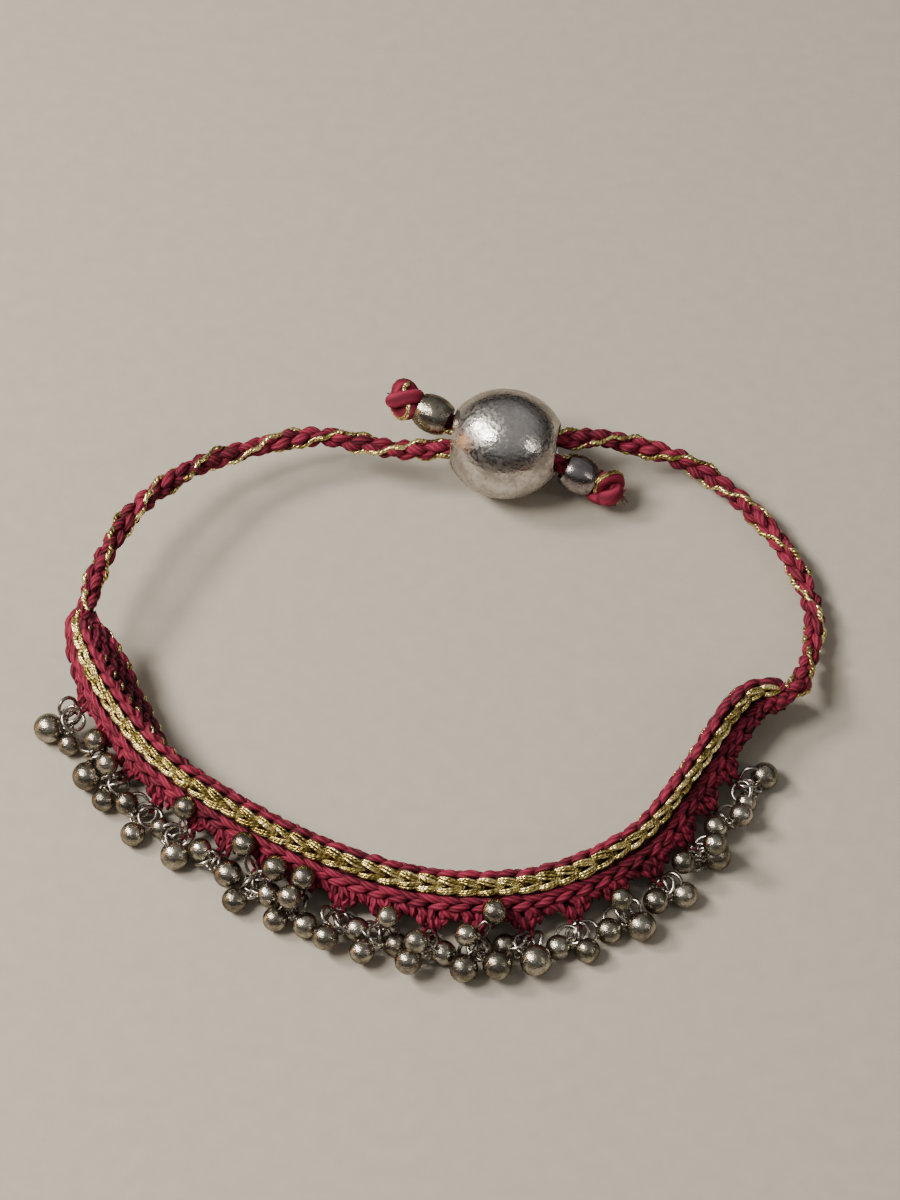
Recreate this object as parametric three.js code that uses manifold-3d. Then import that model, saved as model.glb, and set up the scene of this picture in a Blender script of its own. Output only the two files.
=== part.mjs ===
// Friendship bracelet: a crocheted band with silver drops, closed by two plaited cords and a slider ball.
// Millimetres, +Z up. The bracelet lies on z = 0, the band towards -Y and the slider ball towards +Y.
import * as THREE from 'three';
import { mergeVertices } from 'three/addons/utils/BufferGeometryUtils.js';
import Module from 'manifold-3d';

const wasm = await Module();
wasm.setup();

// ---- driving dimensions -------------------------------------------------------------------------------
const restGap = 0.3;   // between two pieces that touch

const cord = { diameter: 2.0, sides: 8, step: 3.0 };

const ball = { diameter: 10.8, length: 10.2, bore: 5.0, rim: 0.2, sides: 18, rows: 7, turn: -9 };
const ballCentre = new THREE.Vector3(6.4, 24.9, ball.diameter / 2);
const cordPair = { spacing: 2.3, tilt: 35 };   // the two cords inside the ball

const endBead = { diameter: 3.8, length: 3.2, bore: 2.6, rim: 0.15, sides: 12, rows: 4 };
const knot = { diameter: 3.4, length: 3.0, sides: 8, rows: 5, wrapRadius: 1.45, wrapThickness: 0.75, wrapSides: 6, wrapLean: 25 };

// Widths of the band's rows, measured along its surface from the picot edge to the inner hem.
const row = { lower: 3.0, gold: 1.7, crest: 1.0, inner: 4.9 };
const band = { wall: 1.25, tipWall: 0.8, step: 2.2, rimSlope: 45 };

const picot = { count: 19, pitch: 3.86, first: 8.4, radius: 0.82, strand: 0.22, sides: 4, turns: 8, seat: 0.85, dip: 0.35 };
const jumpRing = { radius: 0.9, wire: 0.28, sides: 5, turns: 10, farHeight: 1.3 };
const dropLoop = { radius: 0.5, wire: 0.28, sides: 5, turns: 10, seat: 0.14 };
const dropBead = { turns: 10, rows: 4, sink: 0.1 };

// ---- materials ----------------------------------------------------------------------------------------
const crimsonCotton = () => new THREE.MeshStandardMaterial({ color: 0x8e1f3c, roughness: 0.85 });
const polishedSilver = () => new THREE.MeshStandardMaterial({ color: 0xb9b2aa, roughness: 0.25, metalness: 1 });
const tarnishedSilver = () => new THREE.MeshStandardMaterial({ color: 0x8d8478, roughness: 0.35, metalness: 1 });

// ---- solids and meshes --------------------------------------------------------------------------------
function toSolid(geometry) {
  const bare = geometry.clone();
  bare.deleteAttribute('normal');
  bare.deleteAttribute('uv');
  const merged = mergeVertices(bare, 1e-4);
  return new wasm.Manifold(new wasm.Mesh({
    numProp: 3,
    vertProperties: new Float32Array(merged.attributes.position.array),
    triVerts: new Uint32Array(merged.index.array),
  }));
}

function toGeometry(solid) {
  const mesh = solid.getMesh();
  const geometry = new THREE.BufferGeometry();
  geometry.setAttribute('position', new THREE.BufferAttribute(mesh.vertProperties, 3));
  geometry.setIndex(new THREE.BufferAttribute(mesh.triVerts, 1));
  geometry.computeVertexNormals();
  return geometry;
}

const group = new THREE.Group();

function addPiece(name, geometry, material) {
  const mesh = new THREE.Mesh(geometry, material);
  mesh.name = name;
  group.add(mesh);
}

const radians = THREE.MathUtils.degToRad;
const up = new THREE.Vector3(0, 0, 1);
const mix = (...pairs) => pairs.reduce((sum, [v, share]) => sum.addScaledVector(v, share), new THREE.Vector3());

// Turns and moves a shape whose axis is Z so that its axis follows a direction.
function placed(geometry, centre, axis) {
  const turn = new THREE.Quaternion().setFromUnitVectors(up, axis.clone().normalize());
  return geometry.applyQuaternion(turn).translate(centre.x, centre.y, centre.z);
}

// ---- the band -----------------------------------------------------------------------------------------
// One row for each section of the band, from the left tip to the right tip.
// x, y, z: the upper edge of the gold row. lower, gold, crest, inner: how steeply those rows fall away
// from it, in degrees. grow: the share of each row's full width.
const bandSections = [
  { x: -33.1, y: 5.0, z: 6.5, lower: 40, gold: 25, crest: 20, inner: 40, grow: 0.2 },
  { x: -33.6, y: 3.0, z: 6.8, lower: 38, gold: 28, crest: 15, inner: 36, grow: 0.42 },
  { x: -33.1, y: 1.0, z: 6.9, lower: 46, gold: 40, crest: 12, inner: 42, grow: 0.62 },
  { x: -32.1, y: -1.5, z: 6.8, lower: 58, gold: 48, crest: 12, inner: 52, grow: 0.85 },
  { x: -30.2, y: -5.0, z: 6.5, lower: 66, gold: 54, crest: 15, inner: 62, grow: 1 },
  { x: -26.0, y: -10.6, z: 6.0, lower: 62, gold: 56, crest: 20, inner: 74, grow: 1 },
  { x: -19.4, y: -15.5, z: 5.5, lower: 52, gold: 50, crest: 25, inner: 82, grow: 1 },
  { x: -10.7, y: -20.4, z: 5.3, lower: 46, gold: 44, crest: 30, inner: 86, grow: 1 },
  { x: -2.6, y: -23.2, z: 5.1, lower: 44, gold: 42, crest: 35, inner: 87, grow: 1 },
  { x: 4.6, y: -23.9, z: 5.1, lower: 43, gold: 43, crest: 35, inner: 87, grow: 1 },
  { x: 10.8, y: -22.8, z: 5.1, lower: 42, gold: 46, crest: 35, inner: 87, grow: 1 },
  { x: 18.1, y: -18.7, z: 5.2, lower: 42, gold: 58, crest: 40, inner: 86, grow: 1 },
  { x: 22.9, y: -12.5, z: 5.5, lower: 42, gold: 66, crest: 40, inner: 84, grow: 1 },
  { x: 26.7, y: -6.6, z: 5.8, lower: 44, gold: 66, crest: 30, inner: 80, grow: 1 },
  { x: 28.9, y: -4.0, z: 5.8, lower: 46, gold: 60, crest: 25, inner: 70, grow: 0.9 },
  { x: 31.0, y: -3.3, z: 5.3, lower: 48, gold: 50, crest: 20, inner: 60, grow: 0.62 },
  { x: 32.4, y: -3.3, z: 4.7, lower: 40, gold: 25, crest: 20, inner: 40, grow: 0.2 },
];

const bandLine = new THREE.CatmullRomCurve3(
  bandSections.map((s) => new THREE.Vector3(s.x, s.y, s.z)), false, 'centripetal');
bandLine.arcLengthDivisions = 400;
const bandLength = bandLine.getLength();

// Reads a column of the section table at a place along the band, 0 at the left tip and 1 at the right.
function bandColumn(name, along) {
  const at = bandLine.getUtoTmapping(along) * (bandSections.length - 1);
  const low = Math.min(Math.floor(at), bandSections.length - 2);
  const share = THREE.MathUtils.smoothstep(at - low, 0, 1);
  return THREE.MathUtils.lerp(bandSections[low][name], bandSections[low + 1][name], share);
}

// The section's place, its level direction along the band and its level direction away from the wrist.
function bandFrame(along) {
  const place = bandLine.getPointAt(along);
  const forward = bandLine.getTangentAt(along).setZ(0).normalize();
  const outward = new THREE.Vector3().crossVectors(forward, up).normalize();
  return { place, forward, outward };
}

// The section's outline, with x outward and y up, from the upper edge of the gold row.
function bandOutline(along) {
  const grow = bandColumn('grow', along);
  const lower = bandColumn('lower', along);
  const gold = bandColumn('gold', along);
  const inner = bandColumn('inner', along);
  const wall = THREE.MathUtils.lerp(band.tipWall, band.wall, grow);
  const fall = (from, width, slope, side) => new THREE.Vector2(
    from.x + side * width * grow * Math.cos(radians(slope)),
    from.y - width * grow * Math.sin(radians(slope)));
  const under = (point, slope, side) => new THREE.Vector2(
    point.x - side * wall * Math.sin(radians(slope)),
    point.y - wall * Math.cos(radians(slope)));
  const top = new THREE.Vector2(0, 0);
  const goldEdge = fall(top, row.gold, gold, 1);
  const picotEdge = fall(goldEdge, row.lower, lower, 1);
  const crestEdge = fall(top, row.crest, bandColumn('crest', along), -1);
  const hem = fall(crestEdge, row.inner, inner, -1);
  return [
    picotEdge, goldEdge, top, crestEdge, hem,
    under(hem, inner, -1), under(crestEdge, band.rimSlope, -1), under(goldEdge, gold, 1), under(picotEdge, lower, 1),
  ];
}

function bandPoint(along, outlinePoint) {
  const { place, outward } = bandFrame(along);
  return mix([place, 1], [outward, outlinePoint.x], [up, outlinePoint.y]);
}

// A closed skin over outlines that all have the same number of points, from the first to the last.
function loft(outlines, toPlace) {
  const count = outlines[0].length;
  const last = (outlines.length - 1) * count;
  const positions = outlines.flatMap((outline, i) => outline.flatMap((p) => toPlace(i, p).toArray()));
  const index = [];
  for (let i = 0; i < outlines.length - 1; i += 1) {
    for (let j = 0; j < count; j += 1) {
      const a = i * count + j;
      const b = i * count + ((j + 1) % count);
      index.push(a, a + count, b, b, a + count, b + count);
    }
  }
  for (const [a, b, c] of THREE.ShapeUtils.triangulateShape(outlines[0], [])) {
    index.push(a, b, c);
  }
  for (const [a, b, c] of THREE.ShapeUtils.triangulateShape(outlines.at(-1), [])) {
    index.push(last + c, last + b, last + a);
  }
  const geometry = new THREE.BufferGeometry();
  geometry.setAttribute('position', new THREE.Float32BufferAttribute(positions, 3));
  geometry.setIndex(index);
  return geometry;
}

// A picot stands out from the band's outer edge. hole is the middle of its loop.
function picotFrame(number) {
  const along = (picot.first + number * picot.pitch) / bandLength;
  const { forward, outward } = bandFrame(along);
  const outline = bandOutline(along);
  const edge = bandPoint(along, outline[0].clone().add(outline.at(-1)).multiplyScalar(0.5));
  const dip = radians(bandColumn('lower', along) * picot.dip);
  const reach = mix([outward, Math.cos(dip)], [up, -Math.sin(dip)]);
  const hole = mix([edge, 1], [reach, picot.seat]);
  return { forward, outward, hole, axis: new THREE.Vector3().crossVectors(reach, forward) };
}

function picotSolid(number) {
  const { hole, axis } = picotFrame(number);
  return toSolid(placed(new THREE.TorusGeometry(picot.radius, picot.strand, picot.sides, picot.turns), hole, axis));
}

function bandSolid() {
  const steps = Math.round(bandLength / band.step);
  const places = Array.from({ length: steps + 1 }, (_, i) => i / steps);
  let solid = toSolid(loft(places.map(bandOutline), (i, p) => bandPoint(places[i], p)));
  for (let number = 0; number < picot.count; number += 1) {
    solid = solid.add(picotSolid(number));
  }
  // The inner hem is trimmed level where it rests.
  const table = new THREE.BoxGeometry(100, 100, 10).translate(0, 0, -5);
  return solid.subtract(toSolid(table));
}

// ---- jump rings and drops -----------------------------------------------------------------------------
// One row for each drop. picot is the picot that its ring hangs from, counted from the left. side and out
// place its middle to the right along the band and away from the picot, lift raises it off the table, and
// size is its diameter.
const dropRows = [
  { picot: 1, side: 0, out: 3.1, lift: 0, size: 2.8 },
  { picot: 1, side: 2.4, out: 2.1, lift: 0.1, size: 2.1 },
  { picot: 2, side: 0.5, out: 0.6, lift: 2.7, size: 2.1 },
  { picot: 2, side: 2.2, out: 2.7, lift: 0.2, size: 2.7 },
  { picot: 3, side: -1.2, out: 0.8, lift: 2.1, size: 2.1 },
  { picot: 3, side: 0.7, out: 2.8, lift: 0.2, size: 2.2 },
  { picot: 4, side: -2, out: 1.5, lift: 0.8, size: 2.2 },
  { picot: 4, side: 0.3, out: 3.3, lift: 0, size: 2.3 },
  { picot: 5, side: -2.4, out: 0.8, lift: 0.2, size: 2 },
  { picot: 5, side: 0.5, out: 2.5, lift: 0, size: 2.7 },
  { picot: 6, side: -1.6, out: 0.9, lift: 1, size: 2.1 },
  { picot: 6, side: 1.8, out: 1.5, lift: 0.4, size: 2.6 },
  { picot: 7, side: -0.5, out: 3.1, lift: 0.1, size: 2.3 },
  { picot: 7, side: 2, out: 1.2, lift: 0.3, size: 2.3 },
  { picot: 8, side: -0.6, out: 2.9, lift: 0.1, size: 2.3 },
  { picot: 8, side: 2.1, out: 2.3, lift: 0, size: 2.4 },
  { picot: 9, side: 0.1, out: 3.1, lift: 0.7, size: 2.4 },
  { picot: 9, side: 2.3, out: 1.1, lift: 0.2, size: 2.3 },
  { picot: 10, side: -0.9, out: 3.2, lift: 0.5, size: 2.3 },
  { picot: 10, side: 1.8, out: 1.5, lift: 0, size: 2.3 },
  { picot: 11, side: -1.3, out: 3.4, lift: 0.9, size: 2.5 },
  { picot: 11, side: 1.6, out: 1.6, lift: 0, size: 2.3 },
  { picot: 12, side: -1.2, out: 3.3, lift: 0.4, size: 2.6 },
  { picot: 12, side: 1.8, out: 3.1, lift: 0.6, size: 2.7 },
  { picot: 13, side: -2.1, out: 0.7, lift: 0, size: 2.2 },
  { picot: 13, side: 0.3, out: 3, lift: 0.5, size: 2.9 },
  { picot: 14, side: -2.4, out: 1.6, lift: 0, size: 2.3 },
  { picot: 14, side: -0.1, out: 2.8, lift: 0, size: 2.3 },
  { picot: 15, side: -2.2, out: 1.8, lift: 0, size: 2.4 },
  { picot: 15, side: 0.5, out: 2.9, lift: 0.1, size: 2.7 },
  { picot: 16, side: -2, out: 1.7, lift: 0.7, size: 2.4 },
  { picot: 16, side: 0.7, out: 2.6, lift: 0, size: 2.4 },
  { picot: 17, side: -2.6, out: 0.6, lift: 1.5, size: 2.2 },
  { picot: 17, side: 0.4, out: 2.3, lift: 0, size: 2.7 },
  { picot: 18, side: -1.6, out: 1, lift: 1.1, size: 2.2 },
  { picot: 18, side: 0.9, out: 2.2, lift: 1, size: 2.2 },
  { picot: 19, side: -1.3, out: 1.7, lift: 0.1, size: 2 },
  { picot: 19, side: 2, out: 1.8, lift: 0, size: 2.6 },
];

// Two drops hang from one jump ring. The ring threads its picot and leans out between the two drops.
function ringFrame(number) {
  const { forward, outward, hole, axis } = picotFrame(number);
  const drops = dropRows.filter((drop) => drop.picot === number + 1).map(({ side, out, lift, size }) => ({
    size,
    middle: mix([hole, 1], [forward, side], [outward, out]).setZ(size / 2 + lift),
  }));
  const aim = mix(...drops.map((drop) => [drop.middle, 1 / drops.length])).sub(hole).setZ(0).normalize();
  const rise = (jumpRing.farHeight - hole.z) / (2 * jumpRing.radius);
  const far = mix([aim, Math.sqrt(1 - rise * rise)], [up, rise]);
  const side = mix([axis, 1], [far, -axis.dot(far)]).normalize();
  return { far, side, centre: mix([hole, 1], [far, jumpRing.radius]), drops };
}

// A drop's own wire loop holds the ring at the point that is nearest to the drop.
function loopFrame({ far, side, centre }, middle, size) {
  const toDrop = middle.clone().sub(centre);
  const way = mix([far, toDrop.dot(far)], [side, toDrop.dot(side)]).normalize();
  const hook = mix([centre, 1], [way, jumpRing.radius]);
  const away = middle.clone().sub(hook).normalize();
  const ringAxis = new THREE.Vector3().crossVectors(far, side);
  const wireWay = new THREE.Vector3().crossVectors(ringAxis, way);
  const axis = mix([wireWay, 1], [away, -wireWay.dot(away)]).normalize();
  const start = mix([hook, 1], [away, dropLoop.seat - (jumpRing.wire + dropLoop.wire) / 2]);
  const end = mix([middle, 1], [away, dropBead.sink - size / 2]);
  return { away, axis, across: new THREE.Vector3().crossVectors(axis, away), start, end };
}

function loopSolid({ away, axis, across, start, end }) {
  const shape = new THREE.TorusGeometry(dropLoop.radius, dropLoop.wire / 2, dropLoop.sides, dropLoop.turns);
  shape.scale(start.distanceTo(end) / (2 * dropLoop.radius), 1, 1);
  const place = new THREE.Matrix4().makeBasis(away, across, axis);
  return toSolid(shape.applyMatrix4(place.setPosition(mix([start, 0.5], [end, 0.5]))));
}

function dropsSolid(number) {
  const ring = ringFrame(number);
  const shape = new THREE.TorusGeometry(jumpRing.radius, jumpRing.wire / 2, jumpRing.sides, jumpRing.turns);
  const place = new THREE.Matrix4().makeBasis(ring.far, ring.side, new THREE.Vector3().crossVectors(ring.far, ring.side));
  let solid = toSolid(shape.applyMatrix4(place.setPosition(ring.centre)));
  for (const { size, middle } of ring.drops) {
    const loop = loopFrame(ring, middle, size);
    const bead = new THREE.SphereGeometry(size / 2, dropBead.turns, dropBead.rows);
    solid = solid.add(loopSolid(loop)).add(toSolid(placed(bead, middle, loop.across)));
  }
  return solid;
}

// ---- the slider ball and the end beads ----------------------------------------------------------------
// A bead turned about its bore: an elliptical outside between two narrow flat rims, and a straight bore.
function boredBead({ diameter, length, bore, rim, sides, rows }) {
  const endAngle = Math.acos((bore / 2 + rim) / (diameter / 2));
  const halfAxis = length / 2 / Math.sin(endAngle);
  const outside = Array.from({ length: rows + 1 }, (_, i) => {
    const angle = THREE.MathUtils.lerp(-endAngle, endAngle, i / rows);
    return new THREE.Vector2(diameter / 2 * Math.cos(angle), halfAxis * Math.sin(angle));
  });
  const inside = [new THREE.Vector2(bore / 2, length / 2), new THREE.Vector2(bore / 2, -length / 2)];
  return new THREE.LatheGeometry([...outside, ...inside, outside[0].clone()], sides).rotateX(Math.PI / 2);
}

const ballAxis = new THREE.Vector3(1, 0, 0).applyAxisAngle(up, radians(ball.turn));
// The two cords cross the ball side by side: this is how far each runs from the ball's own axis.
const cordOffset = new THREE.Vector3().crossVectors(up, ballAxis).applyAxisAngle(ballAxis, radians(cordPair.tilt))
  .multiplyScalar(cordPair.spacing / 2);

function throughBall(sideways, alongAxis) {
  return mix([ballCentre, 1], [cordOffset, sideways], [ballAxis, alongAxis]);
}

// ---- the plaited cords --------------------------------------------------------------------------------
// Each cord's route, from its end of the band to the slider ball. The middle of its plait passes these.
const leftRoute = [
  [-33.0, 5.6, 6.4], [-32.3, 8.6, 6.8], [-31.2, 11.4, 7.1], [-29.5, 14.9, 7.2], [-26.4, 18.9, 6.7], [-23.2, 22.0, 5.9],
  [-19.5, 24.1, 5.2], [-14.7, 25.9, 4.8], [-11.3, 26.4, 4.6], [-7.8, 25.6, 4.6], [-3.9, 24.8, 4.6],
];
const rightRoute = [
  [33.5, -2.4, 3.9], [34.0, -0.9, 3.2], [34.8, 1.5, 2.4], [35.6, 4.9, 1.7], [35.7, 7.9, 1.5], [34.9, 11.2, 1.5],
  [33.4, 14.9, 1.6], [31.2, 18.3, 1.8], [29.3, 20.6, 2.0], [25.5, 24.0, 2.4], [22.6, 25.4, 2.9], [19.2, 25.9, 3.8],
  [15.8, 26.0, 4.9],
];
// Past the ball each cord has a short straight tail, through its end bead to its end knot. beadReach is
// how far the middle of the bead is from the ball.
const leftTail = { beadReach: 2.4, knot: [-3.4, 29.0, 7.2] };
const rightTail = { beadReach: 2.6, knot: [16.2, 21.7, 2.5] };

const point = (values) => new THREE.Vector3(...values);

// Where a cord's tail leaves the ball, and the middles of its bead and knot.
function tailPlaces({ beadReach, knot: knotPlace }, sideways, way) {
  const exit = throughBall(sideways, way * ball.length / 2);
  const knotMiddle = point(knotPlace);
  const out = knotMiddle.clone().sub(exit).normalize();
  return { exit, out, beadMiddle: mix([exit, 1], [out, beadReach]), knotMiddle };
}

// The cord runs straight through the ball and on through its end bead, and stops just short of its knot.
function cordLine(route, sideways, way, { exit, out, beadMiddle, knotMiddle }) {
  const inBall = [-1, 0].map((share) => throughBall(sideways, share * way * ball.length / 2));
  const end = mix([knotMiddle, 1], [out, -knot.length / 2 - restGap]);
  return new THREE.CatmullRomCurve3([...route.map(point), ...inBall, exit, beadMiddle, end], false, 'centripetal');
}

function cordTube(line) {
  const section = new THREE.Shape();
  section.setFromPoints(Array.from({ length: cord.sides }, (_, i) => {
    const angle = 2 * Math.PI * (i + 0.5) / cord.sides;
    return new THREE.Vector2(Math.cos(angle), Math.sin(angle)).multiplyScalar(cord.diameter / 2);
  }));
  const steps = Math.round(line.getLength() / cord.step);
  return new THREE.ExtrudeGeometry(section, { steps, extrudePath: line, bevelEnabled: false });
}

// The cord's last tight turns: a rounded knot with a band of gold thread that stands out round it.
function endKnot({ out, knotMiddle }) {
  const body = new THREE.SphereGeometry(knot.diameter / 2, knot.sides, knot.rows).rotateX(Math.PI / 2);
  body.scale(1, 1, knot.length / knot.diameter);
  const wrap = new THREE.TorusGeometry(knot.wrapRadius, knot.wrapThickness / 2, knot.wrapSides, knot.sides);
  wrap.rotateX(radians(knot.wrapLean));
  return placed(toGeometry(toSolid(body).add(toSolid(wrap))), knotMiddle, out);
}

// The left cord's tail comes out on the right, and the right cord's on the left.
const rightTailPlaces = tailPlaces(rightTail, -1, 1);
const leftTailPlaces = tailPlaces(leftTail, 1, -1);
const leftCord = cordLine(leftRoute, -1, 1, rightTailPlaces);
const rightCord = cordLine(rightRoute, 1, -1, leftTailPlaces);

addPiece('woven_band', toGeometry(bandSolid()), crimsonCotton());
for (let number = 0; number < picot.count; number += 1) {
  addPiece(`drops_${String(number + 1).padStart(2, '0')}`, toGeometry(dropsSolid(number)), tarnishedSilver());
}
addPiece('slider_ball', placed(boredBead(ball), ballCentre, ballAxis), polishedSilver());
addPiece('cord_left', cordTube(leftCord), crimsonCotton());
addPiece('cord_right', cordTube(rightCord), crimsonCotton());
for (const [side, tail] of [['left', leftTailPlaces], ['right', rightTailPlaces]]) {
  addPiece(`end_bead_${side}`, placed(boredBead(endBead), tail.beadMiddle, tail.out), tarnishedSilver());
  addPiece(`end_knot_${side}`, endKnot(tail), crimsonCotton());
}

// The origin is the middle of the bracelet's footprint.
const middle = new THREE.Box3().setFromObject(group).getCenter(new THREE.Vector3());
group.position.set(-middle.x, -middle.y, 0);

export default group;
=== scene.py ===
import bpy
import numpy as np
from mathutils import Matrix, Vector


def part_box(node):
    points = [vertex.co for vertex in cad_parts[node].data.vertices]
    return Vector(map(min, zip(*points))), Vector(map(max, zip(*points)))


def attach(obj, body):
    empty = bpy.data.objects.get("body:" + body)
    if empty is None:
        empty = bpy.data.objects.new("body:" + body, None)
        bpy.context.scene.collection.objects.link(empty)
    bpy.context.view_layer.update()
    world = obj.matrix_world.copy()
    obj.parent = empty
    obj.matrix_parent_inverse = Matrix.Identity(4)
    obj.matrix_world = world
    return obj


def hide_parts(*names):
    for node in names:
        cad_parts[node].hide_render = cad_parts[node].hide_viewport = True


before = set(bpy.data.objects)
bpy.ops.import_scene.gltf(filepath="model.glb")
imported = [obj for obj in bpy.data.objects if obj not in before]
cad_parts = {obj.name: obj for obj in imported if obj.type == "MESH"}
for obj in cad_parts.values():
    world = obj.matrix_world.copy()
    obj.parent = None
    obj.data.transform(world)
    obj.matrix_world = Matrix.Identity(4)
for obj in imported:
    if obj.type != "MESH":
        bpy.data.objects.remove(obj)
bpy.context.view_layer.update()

# Friendship bracelet: a crocheted crimson band with a gold chain row and silver drops, closed by two
# plaited cords through a sliding ball. Shapes are worked out in millimetres and put down in metres. Angles
# are in radians, apart from those that say degrees.
mm = 0.001
rng = np.random.default_rng(7)
up = np.array([0, 0, 1.0])
offTable = dict(cord=0.02, band=0.03, knot=0.03, fibre=0.08, wire=0.07)   # how far each stays off the table

# The tables below are in the construction's own place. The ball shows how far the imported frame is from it.
# Its axis is turned by so many degrees.
ballSize = dict(diameter=10.8, length=10.2, bore=5.0, rimRound=0.22)
ball = dict(turn=-9, centre=(6.4, 24.9, 5.4))
ballLow, ballHigh = (np.array(corner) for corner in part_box("slider_ball"))
shift = (ballLow + ballHigh) / 2 / mm - np.array(ball["centre"])
shift[2] = 0


def newObject(name, data):
    made = bpy.data.objects.new(name, data)
    bpy.context.collection.objects.link(made)
    return made


# The camera looks down at the bracelet from the front. Its view is this many degrees tall.
camera = dict(place=(1, -175.5, 265.1), target=(1, 8, 3), tall=20.25, near=10, far=10000)
lens = bpy.data.cameras.new("camera")
lens.lens = lens.sensor_width / 2 / np.tan(np.radians(camera["tall"] / 2))
lens.clip_start = camera["near"] * mm
lens.clip_end = camera["far"] * mm
cameraPiece = newObject("camera", lens)
cameraPiece.location = (np.array(camera["place"]) + shift) * mm
away = Vector(np.array(camera["target"], float) - camera["place"])
cameraPiece.rotation_euler = away.to_track_quat("-Z", "Y").to_euler()
bpy.context.scene.camera = cameraPiece
print("camera placed")


# each vector, made one long
def unit(v):
    return v / np.linalg.norm(v, axis=-1, keepdims=True)


# A smooth line through the points: on each span a cubic whose slopes come from its two neighbours, with the
# square root of the spans' lengths as the steps of its parameter. Along it are kept the length so far (at),
# the place, the way it runs, and a number (span) that grows by 1 from one point to the next.
def smoothLine(points, perSpan=48):
    points = np.array(points, float)
    p = np.vstack([2 * points[0] - points[1], points, 2 * points[-1] - points[-2]])
    p0, p1, p2, p3 = p[:-3], p[1:-2], p[2:-1], p[3:]
    step = np.sqrt(np.linalg.norm(np.diff(p, axis=0), axis=1))[:, None]
    d0, d1, d2 = step[:-2], step[1:-1], step[2:]
    m1 = ((p1 - p0) / d0 - (p2 - p0) / (d0 + d1) + (p2 - p1) / d1) * d1
    m2 = ((p2 - p1) / d1 - (p3 - p1) / (d1 + d2) + (p3 - p2) / d2) * d1
    w = np.linspace(0, 1, perSpan, endpoint=False)[None, :, None]
    x = (p1[:, None] + m1[:, None] * w + (3 * (p2 - p1) - 2 * m1 - m2)[:, None] * w ** 2
         + (2 * (p1 - p2) + m1 + m2)[:, None] * w ** 3)
    x = np.vstack([x.reshape(-1, 3), points[-1:]])
    gone = np.concatenate([[0], np.cumsum(np.linalg.norm(np.diff(x, axis=0), axis=1))])
    way = unit(np.gradient(x, gone, axis=0))
    return dict(at=gone, place=x, way=way, span=np.linspace(0, len(points) - 1, len(x)))


# what the line keeps under a key, read at the lengths s
def readLine(line, key, s):
    return np.stack([np.interp(s, line["at"], column) for column in line[key].T], axis=-1)


# no point stays lower than the height
def keepAbove(points, height):
    points[..., 2] = np.maximum(points[..., 2], height)
    return points


# count angles evenly round a full turn
def fullTurn(count):
    return np.arange(count) * 2 * np.pi / count


# quads between neighbouring rows and columns of k grids at once, and one flat cap on each open end
def gridFaces(k, rows, cols, ringed):
    i = np.arange(rows if ringed else rows - 1)[:, None]
    j = np.arange(cols)[None, :]
    a = i * cols + j
    b = i * cols + (j + 1) % cols
    c = ((i + 1) % rows) * cols + (j + 1) % cols
    d = ((i + 1) % rows) * cols + j
    quads = np.stack([a, b, c, d], axis=-1).reshape(-1, 4)
    firsts = (np.arange(k) * rows * cols)[:, None, None]
    quads = (quads[None] + firsts).reshape(-1, 4)
    if ringed:
        return quads, np.zeros((0, cols), int)
    ends = np.stack([np.arange(cols)[::-1], (rows - 1) * cols + np.arange(cols)])
    return quads, (ends[None] + firsts).reshape(-1, cols)


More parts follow.
